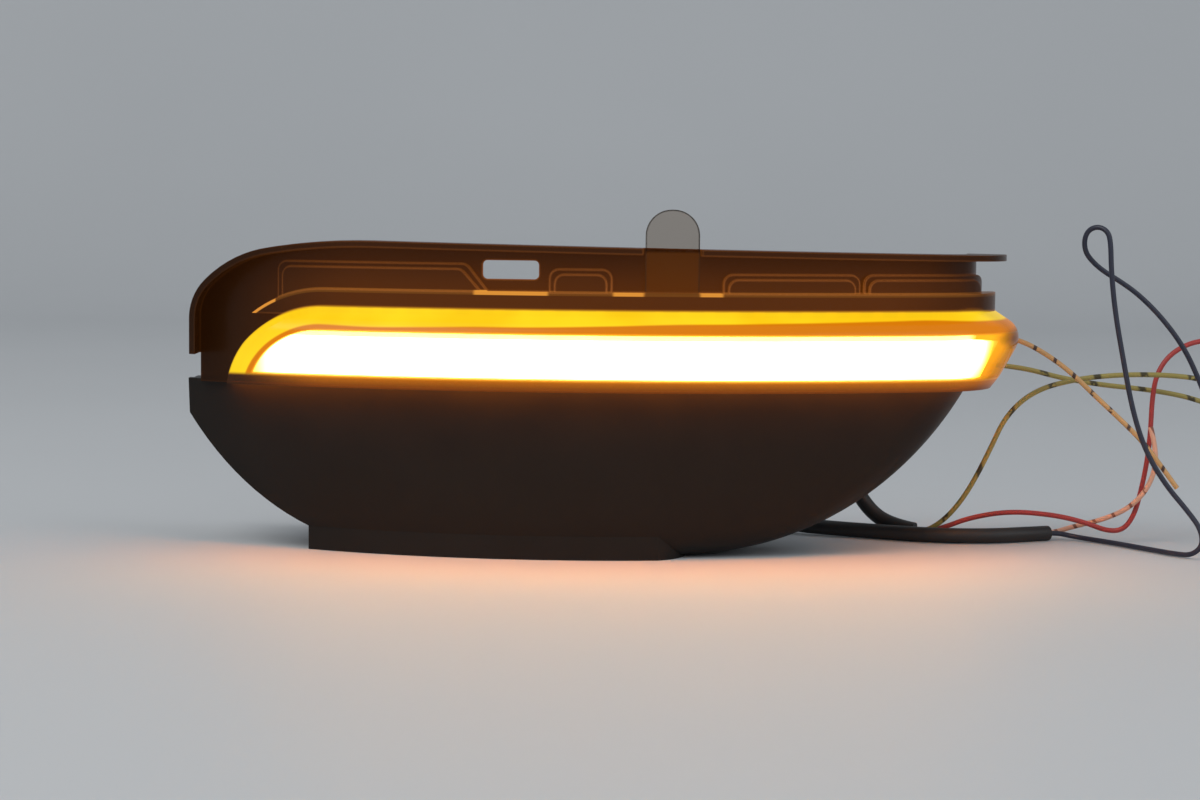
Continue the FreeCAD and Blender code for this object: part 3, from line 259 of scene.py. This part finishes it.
ORANGE = [
    (0.06597, 0.00171, 0.056), (0.06412, 0.00773, 0.056), (0.0645, 0.0155, 0.057),
    (0.0705, 0.0195, 0.0585), (0.0795, 0.021, 0.0598), (0.09, 0.021, 0.0603), (0.101, 0.0203, 0.0598),
    (0.113, 0.0192, 0.0572), (0.12, 0.019, 0.0536), (0.1272, 0.019, 0.0485), (0.1337, 0.019, 0.0423),
    (0.1407, 0.019, 0.036), (0.1472, 0.019, 0.0298), (0.1526, 0.019, 0.0229), (0.157, 0.019, 0.017)]
LEAD_DIAMETER = 0.0014
SLEEVE_DIAMETER = 0.0042


def cord(node, route, diameter, material):
    """A smooth lead along a route, in place of its solid."""
    curve = bpy.data.curves.new(f"{node}_curve", "CURVE")
    curve.dimensions = "3D"
    curve.bevel_depth = diameter / 2
    curve.bevel_resolution = 4
    curve.resolution_u = 10
    curve.use_fill_caps = True
    spline = curve.splines.new("NURBS")
    spline.points.add(len(route) - 1)
    for point, place in zip(spline.points, route):
        point.co = (*place, 1)
    spline.order_u = 3
    spline.use_endpoint_u = True
    curve.materials.append(material)
    piece = bpy.data.objects.new(f"{node}_cord", curve)
    scene.collection.objects.link(piece)
    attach(piece, "root")
    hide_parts(node)


sleeve_look = plastic("shrink_sleeve", (0.009, 0.009, 0.0095), (0.017, 0.017, 0.018), 0.55, 600, 0.00012)
olive_look = insulation("olive_insulation", (0.27, 0.22, 0.055), (0.05, 0.04, 0.012), 0.013)
orange_look = insulation("orange_insulation", (0.52, 0.29, 0.11), (0.06, 0.028, 0.018), 0.0065, -0.3)
red_look = insulation("red_insulation", (0.34, 0.03, 0.026))
pink_look = insulation("pink_insulation", (0.70, 0.36, 0.24), (0.26, 0.08, 0.045), 0.006, 0.6)
blue_look = insulation("blue_insulation", (0.009, 0.012, 0.03))

cord("sleeve_short", SLEEVE_SHORT, SLEEVE_DIAMETER, sleeve_look)
cord("sleeve_long", SLEEVE_LONG, SLEEVE_DIAMETER, sleeve_look)
cord("lead_olive_front", OLIVE_FRONT, LEAD_DIAMETER, olive_look)
cord("lead_red", RED, LEAD_DIAMETER, red_look)
cord("lead_pink", PINK, LEAD_DIAMETER, pink_look)
cord("lead_blue", BLUE, LEAD_DIAMETER, blue_look)
cord("lead_olive_rear", OLIVE_REAR, LEAD_DIAMETER, olive_look)
cord("lead_orange", ORANGE, LEAD_DIAMETER, orange_look)

# Nodes that keep their solids, in plain materials

dress(plastic("cover_plastic", (0.009, 0.0072, 0.006), (0.014, 0.0115, 0.010), 0.46, specular=0.16),
      "lower_cover")
dress(plastic("housing_plastic", (0.014, 0.014, 0.015), (0.024, 0.024, 0.025), 0.5), "rear_housing")
dress(plastic("tray_plastic", (0.78, 0.77, 0.74), (0.85, 0.84, 0.82), 0.35), "reflector_tray")
dress(plastic("board_mask", (0.7, 0.73, 0.7), (0.78, 0.8, 0.78), 0.45), "led_board")
dress(plastic("led_resin", (0.8, 0.6, 0.2), (0.9, 0.7, 0.3), 0.3), "leds")
dress(plastic("chip_resin", (0.03, 0.03, 0.032), (0.05, 0.05, 0.05), 0.5), "resistors", "driver_chip")
dress(plastic("grommet_rubber", (0.012, 0.012, 0.012), (0.022, 0.022, 0.022), 0.65, 900, 0.00008),
      "main_grommet", "side_grommet", "lens_seal")
dress(plastic("vent_plastic", (0.05, 0.05, 0.052), (0.075, 0.075, 0.075), 0.5), "vent_plug")
dress(plastic("plug_plastic", (0.014, 0.014, 0.014), (0.024, 0.024, 0.024), 0.48), "front_plug", "rear_plug")
dress(metal("screw_zinc", (0.45, 0.45, 0.46), (0.6, 0.6, 0.6), 0.35), "cover_screws")
dress(metal("pin_brass", (0.6, 0.47, 0.2), (0.75, 0.6, 0.3), 0.3), "plug_pins")

# Light guide: milky plastic that glows, weaker at its two ends

GUIDE_GLOW = 11.0
GUIDE_LEFT_TIP = (-0.0965, -0.086)
GUIDE_RIGHT_TIP = (0.0985, 0.1025)

guide = Tree("guide_glow")
guide_x = guide.split(guide.place)[0]
left_tip = guide.math("POWER", guide.ramp(guide_x, *GUIDE_LEFT_TIP, 0.15, 1.0), 2.0)
tip = guide.product(left_tip, guide.ramp(guide_x, *GUIDE_RIGHT_TIP, 1.0, 0.03))
cloud = guide.ramp(guide.noise(120), 0.3, 0.7, 0.92, 1.08)
guide.principled(
    Base_Color=guide.mix(cloud, rgb(0.88, 0.8, 0.62), rgb(0.92, 0.84, 0.68)), Roughness=0.4,
    Emission_Color=guide.mix(tip, rgb(1.0, 0.5, 0.08), rgb(1.0, 0.68, 0.3)),
    Emission_Strength=guide.product(tip, cloud, GUIDE_GLOW))
dress(guide.material, "light_guide")

# Lens moulding: one smoked plastic, in zones, with the light that reaches each zone painted in as emission

FRONT_CENTRE = 0.2222
FRONT_RADIUS = 0.26
CORNER_CENTRE = (0.0788, 0.01038)
CORNER_RADIUS = 0.034
CORNER_ANGLE = math.radians(20.41)
LEFT_TURN = (-0.0727, 0.039)
LEFT_ROUND = 0.027

# ends of the zones and of their fades
LIP_TOP = (0.0474, 0.0486)
LENS_BOTTOM = (0.0451, 0.0455)
SHOULDER_DEPTH = 0.0057
TONGUE_SIDES = (0.0099, 0.0241)
TONGUE_SETBACK = (0.0081, 0.0099)
LEDGE_HEIGHT = (0.0037, 0.0048)
LEDGE_SETBACK = (0.0081, 0.0131)
LEFT_PAD_START = (-0.0858, -0.0852)
PAD_GAPS = ((-0.0335, -0.0146), (0.0020, 0.0098), (0.0242, 0.0300))
EDGE_WIDTH = 0.0008
UNDERSIDE_PAINTED_GLOW = 13.0

lens = Tree("smoked_lens")
across, deep, level = lens.split(lens.place)
sideways, _, upward = lens.split(lens.facing)

# setback from the plan line
from_front = lens.math("SUBTRACT", FRONT_RADIUS, lens.distance(
    across, lens.math("SUBTRACT", deep, FRONT_CENTRE)))
corner_x = lens.math("SUBTRACT", across, CORNER_CENTRE[0])
corner_y = lens.math("SUBTRACT", deep, CORNER_CENTRE[1])
from_corner = lens.math("SUBTRACT", CORNER_RADIUS, lens.distance(corner_x, corner_y))
past_corner = lens.math("GREATER_THAN", lens.total(
    lens.product(corner_x, math.cos(CORNER_ANGLE)), lens.product(corner_y, math.sin(CORNER_ANGLE))), 0.0)
setback = lens.total(lens.product(past_corner, from_corner),
                     lens.product(lens.math("SUBTRACT", 1.0, past_corner), from_front))

# height past the lens's front outline, below zero in the lens itself
left_step = lens.math("MAXIMUM", lens.math("SUBTRACT", LEFT_TURN[0], across), 0.0)
outside = lens.math("SUBTRACT", lens.distance(
    left_step, lens.math("SUBTRACT", level, LEFT_TURN[1])), LEFT_ROUND)

# zones
smoke = lens.ramp(outside, -0.0005, 0.0005)
low = lens.ramp(level, *LIP_TOP, 1.0, 0.0)
lip = lens.product(low, lens.ramp(outside, 0.0005, -0.0005))
shoulder = lens.product(lens.window(outside, -SHOULDER_DEPTH, 0.0, 0.0004), lens.ramp(level, *LIP_TOP))
opaque = lens.share(shoulder, lip)
# the lens's right end: its painted glow is turned down there as painted shade, and its see-through tint is
# warmer
right_end = lens.product(past_corner, lens.ramp(deep, -0.010, -0.004))
turned = lens.product(lens.ramp(sideways, 0.72, 0.95), lens.ramp(across, 0.096, 0.1))
# the lens's underside, painted with a bright amber glow that casts painted light onto the cover below
underside = lens.product(lens.ramp(upward, -0.9, -0.97), lens.ramp(level, *LENS_BOTTOM, 1.0, 0.0),
                         lens.window(setback, 0.0012, 0.02, 0.0004))
tongue = lens.product(lens.window(across, *TONGUE_SIDES, 0.0002),
                      lens.window(setback, *TONGUE_SETBACK, 0.0001), lens.ramp(level, 0.0702, 0.0712))
ledge_edge = lens.product(lens.window(outside, *LEDGE_HEIGHT, 0.0001),
                          lens.window(setback, *LEDGE_SETBACK, 0.0001))
open_ledge = lens.share(lens.ramp(across, *LEFT_PAD_START, 1.0, 0.0),
                        *(lens.window(across, *gap, 0.0008) for gap in PAD_GAPS))
# edges found with a Bevel node, for the flange's painted edge highlights and the tongue's dark outline
bevelled = lens.node("Bevel", {"samples": 4}, Radius=EDGE_WIDTH)
nearness = lens.node("VectorMath", {"operation": "DOT_PRODUCT"})
lens.feed(nearness.inputs[0], bevelled.outputs[0])
lens.feed(nearness.inputs[1], lens.facing)
edge = lens.ramp(nearness.outputs["Value"], 0.99, 0.85)

# painted glow of the lit zones: an orange glow painted on the lens face, the shoulder painted yellow above a
# wavy line and red-orange below it, and the lip painted amber, darker towards its bottom and its left end as
# painted shade
boundary = lens.total(lens.ramp(across, -0.085, 0.09, -0.0046, -0.0020),
                      lens.ramp(lens.noise(22, 1), 0.3, 0.7, -0.0004, 0.0004))
upper = lens.ramp(lens.math("SUBTRACT", outside, boundary), -0.0003, 0.0003)
shoulder_painted_glow = lens.mix(upper, rgb(0.62, 0.18, 0.001), lens.mix(
    lens.ramp(lens.noise(35), 0.3, 0.7), rgb(0.94, 0.58, 0.006), rgb(1.0, 0.72, 0.014)))
lip_painted_glow = lens.mix(lens.ramp(level, 0.0448, 0.0482), rgb(0.14, 0.03, 0.001), rgb(0.48, 0.13, 0.003))
lip_painted_glow = lens.mix(lens.ramp(across, -0.098, -0.07), rgb(0.02, 0.006, 0.001), lip_painted_glow)
lit_colour = lens.mix(low, lens.mix(shoulder, rgb(1.0, 0.46, 0.02), shoulder_painted_glow), lip_painted_glow)
# the sideways-turned right end of the lens painted dark brown, as painted shade
lit_colour = lens.mix(turned, lit_colour, rgb(0.16, 0.045, 0.002))
lit_colour = lens.mix(underside, lit_colour, rgb(1.0, 0.27, 0.015))

# painted glow of the flange, dimmer towards its top and its two ends as painted shade, with painted
# highlights on its edges and on the open ledge, and a faint painted glow on the tongue's lower part
flange_glow_painted_shade = lens.product(lens.ramp(level, 0.068, 0.083, 1.0, 0.3),
                           lens.ramp(across, -0.105, -0.06, 0.06, 1.0),
                           lens.ramp(across, 0.07, 0.104, 1.0, 0.5))
flange_painted_glow = lens.mix(flange_glow_painted_shade, rgb(0.006, 0.002, 0.0005), rgb(0.14, 0.034, 0.002))
flange_painted_glow = lens.mix(lens.product(edge, flange_glow_painted_shade), flange_painted_glow, rgb(0.6, 0.18, 0.035))
ledge_painted_highlight = lens.product(ledge_edge, lens.ramp(open_ledge, 0, 1, 0.1, 1.0))
flange_painted_glow = lens.mix(ledge_painted_highlight, flange_painted_glow, rgb(1.4, 0.55, 0.07))
tongue_painted_glow = lens.mix(lens.ramp(level, 0.0805, 0.0815), rgb(0.05, 0.016, 0.003), rgb(0.0, 0.0, 0.0))
flange_painted_glow = lens.mix(tongue, flange_painted_glow, tongue_painted_glow)
# strength of the painted glow: 0.5 to 0.95 over the lens, strong on the underside, and turned down at the
# right end as painted shade
strength = lens.total(lens.ramp(opaque, 0, 1, 0.5, 0.95), lens.product(underside, UNDERSIDE_PAINTED_GLOW),
                      lens.product(right_end, -0.2))
glow = lens.node("Emission", Color=lens.mix(smoke, lit_colour, flange_painted_glow), Strength=strength)

# how much of what lies behind shows through
face_clear = lens.mix(opaque, rgb(0.95, 0.88, 0.74), rgb(0.6, 0.32, 0.05))
face_clear = lens.mix(right_end, face_clear, rgb(0.8, 0.42, 0.06))
through = lens.mix(tongue, lens.mix(smoke, face_clear, rgb(0.28, 0.15, 0.06)), rgb(0.86, 0.81, 0.76))
clear = lens.node("BsdfTransparent", Color=through)
smoked = lens.mix(lens.noise(80), rgb(0.012, 0.006, 0.003), rgb(0.022, 0.012, 0.006))
satin = lens.share(smoke, opaque)
lens.principled(
    Base_Color=lens.mix(shoulder, smoked, rgb(0.1, 0.035, 0.002)),
    Roughness=lens.ramp(satin, 0, 1, 0.08, 0.26), Specular_IOR_Level=lens.ramp(satin, 0, 1, 0.4, 0.16))
body_share = lens.share(lens.ramp(smoke, 0, 1, 0.1, 0.6), lens.product(opaque, 0.8),
                        lens.product(right_end, 0.15), lens.product(turned, 0.6))
tongue_share = lens.ramp(edge, 0.05, 0.5, 0.07, 0.92)
cover = lens.node("Mix", {"data_type": "FLOAT"})
for number, source in ((0, tongue), (2, body_share), (3, tongue_share)):
    lens.feed(cover.inputs[number], source)
body = lens.node("MixShader")
for number, source in enumerate((cover.outputs[0], clear.outputs[0], lens.shader.outputs[0])):
    lens.feed(body.inputs[number], source)
lit = lens.node("AddShader")
for number, source in enumerate((body.outputs[0], glow.outputs[0])):
    lens.feed(lit.inputs[number], source)
lens.feed(lens.output.inputs["Surface"], lit.outputs[0])
dress(lens.material, "outer_lens")

# Plain pale floor and backdrop, and soft light

FLOOR_FRONT = -3.0
FLOOR_HALF_WIDTH = 4.0
BACKDROP_DEPTH = 1.2
BACKDROP_ROUND = 0.6
BACKDROP_TOP = 4.0
ROUND_STEPS = 12

profile = [(FLOOR_FRONT, 0.0), (BACKDROP_DEPTH, 0.0)]
for step in range(1, ROUND_STEPS + 1):
    angle = math.radians(90 * step / ROUND_STEPS)
    profile.append((BACKDROP_DEPTH + BACKDROP_ROUND * math.sin(angle),
                    BACKDROP_ROUND - BACKDROP_ROUND * math.cos(angle)))
profile.append((BACKDROP_DEPTH + BACKDROP_ROUND, BACKDROP_TOP))
corners = [(x, y, z) for y, z in profile for x in (-FLOOR_HALF_WIDTH, FLOOR_HALF_WIDTH)]
faces = [(2 * i, 2 * i + 1, 2 * i + 3, 2 * i + 2) for i in range(len(profile) - 1)]
floor_mesh = bpy.data.meshes.new("floor")
floor_mesh.from_pydata(corners, [], faces)
for polygon in floor_mesh.polygons:
    polygon.use_smooth = True
floor = bpy.data.objects.new("floor", floor_mesh)
scene.collection.objects.link(floor)
floor_look = Tree("floor_paint")
floor_look.principled(
    Base_Color=floor_look.mix(floor_look.noise(3), rgb(0.54, 0.56, 0.58), rgb(0.58, 0.60, 0.62)),
    Roughness=0.6, Specular_IOR_Level=0.25)
floor_mesh.materials.append(floor_look.material)


def soft_light(name, place, target, size, power, colour):
    """A large square lamp that looks at a point."""
    lamp = bpy.data.lights.new(name, "AREA")
    lamp.shape = "SQUARE"
    lamp.size = size
    lamp.energy = power
    lamp.color = colour
    item = bpy.data.objects.new(name, lamp)
    item.location = place
    item.rotation_mode = "QUATERNION"
    item.rotation_quaternion = (Vector(target) - Vector(place)).to_track_quat("-Z", "Y")
    scene.collection.objects.link(item)


soft_light("key", (-0.9, -1.1, 1.5), (0, 0, 0.04), 1.2, 18, (1.0, 0.98, 0.95))
soft_light("fill", (1.3, -0.9, 0.9), (0, 0, 0.04), 1.2, 6, (0.93, 0.96, 1.0))
scene.world = bpy.data.worlds.new("studio")
scene.world.use_nodes = True
background = scene.world.node_tree.nodes["Background"]
background.inputs["Color"].default_value = rgb(0.92, 0.96, 1.0)
background.inputs["Strength"].default_value = 0.45
